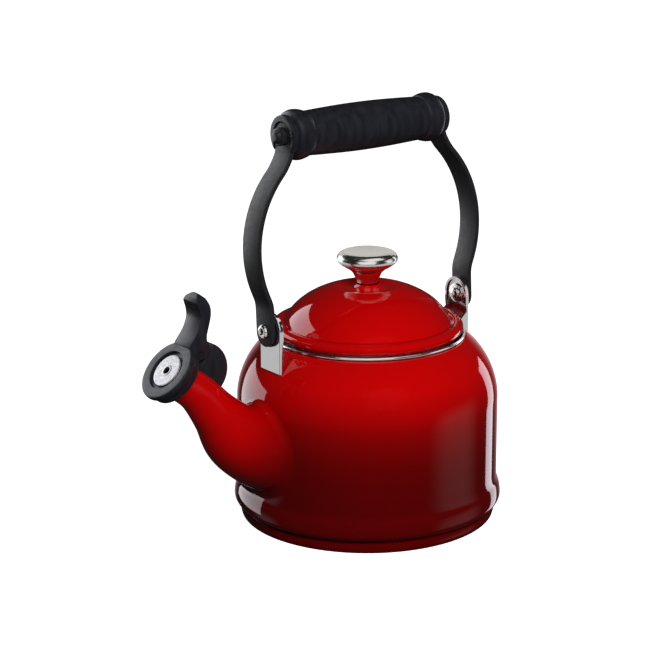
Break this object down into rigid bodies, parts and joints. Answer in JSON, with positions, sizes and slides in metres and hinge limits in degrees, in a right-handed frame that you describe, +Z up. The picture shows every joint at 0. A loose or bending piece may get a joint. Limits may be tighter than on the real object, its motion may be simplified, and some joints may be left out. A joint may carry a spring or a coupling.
{
  "type": "stovetop whistling kettle",
  "caption": "Round enamelled stovetop kettle with a bail handle, lift-off lid, curved spout and flip-up whistle.",
  "frame": {"origin": "centre of the kettle's flat underside, on the body's axis", "axes": "+Z up; the spout points along -X and the bail handle stands in line with it; +Y is the side away from a viewer who sees the spout at the left"},
  "size_m": [0.2028, 0.1404, 0.2165],
  "materials": {
    "red_enamel": "high-gloss vitreous enamel, bright red fading to maroon at the base",
    "polished_steel": "polished stainless steel",
    "brushed_steel": "brushed stainless steel",
    "black_painted_steel": "fine-textured satin black coating",
    "black_phenolic": "satin moulded phenolic",
    "grey_silicone": "matte silicone"
  },
  "bodies": {
    "vessel": {"body_shell": "red_enamel", "base_pan": "red_enamel", "spout": "red_enamel", "mouth_rim_ring": "polished_steel", "front_bracket": "polished_steel", "rear_bracket": "polished_steel", "front_pivot_rivet": "polished_steel", "rear_pivot_rivet": "polished_steel", "front_pivot_washer": "polished_steel", "rear_pivot_washer": "polished_steel", "whistle_hinge_pin": "polished_steel", "whistle_return_spring": "brushed_steel", "front_pivot_spacer": "black_phenolic", "rear_pivot_spacer": "black_phenolic", "spout_collar": "black_phenolic"},
    "handle": {"front_strap": "black_painted_steel", "rear_strap": "black_painted_steel", "grip": "black_phenolic", "grip_tie_rod": "brushed_steel", "front_grip_nut": "black_painted_steel", "rear_grip_nut": "black_painted_steel"},
    "lid": {"lid_shell": "red_enamel", "lid_locating_ring": "brushed_steel", "lid_knob": "polished_steel", "knob_screw": "brushed_steel", "knob_washer": "brushed_steel"},
    "whistle": {"whistle_cap": "black_phenolic", "whistle_front_disc": "polished_steel", "whistle_rear_disc": "brushed_steel", "whistle_seal": "grey_silicone"}
  },
  "joints": [
    {"name": "handle_swing", "type": "hinge", "parent": "vessel", "child": "handle", "pos_m": [0, 0, 0.108], "axis": [1, 0, 0], "range_deg": [-107, 112]},
    {"name": "lid_lift", "type": "slide", "parent": "vessel", "child": "lid", "axis": [0, 0, 1], "range_m": [0, 0.04]},
    {"name": "whistle_flip", "type": "hinge", "parent": "vessel", "child": "whistle", "pos_m": [-0.104, 0, 0.1063], "axis": [0, 1, 0], "range_deg": [0, 55], "stiffness_Nm_per_rad": 0.01, "springref_deg": -20.05}
  ]
}
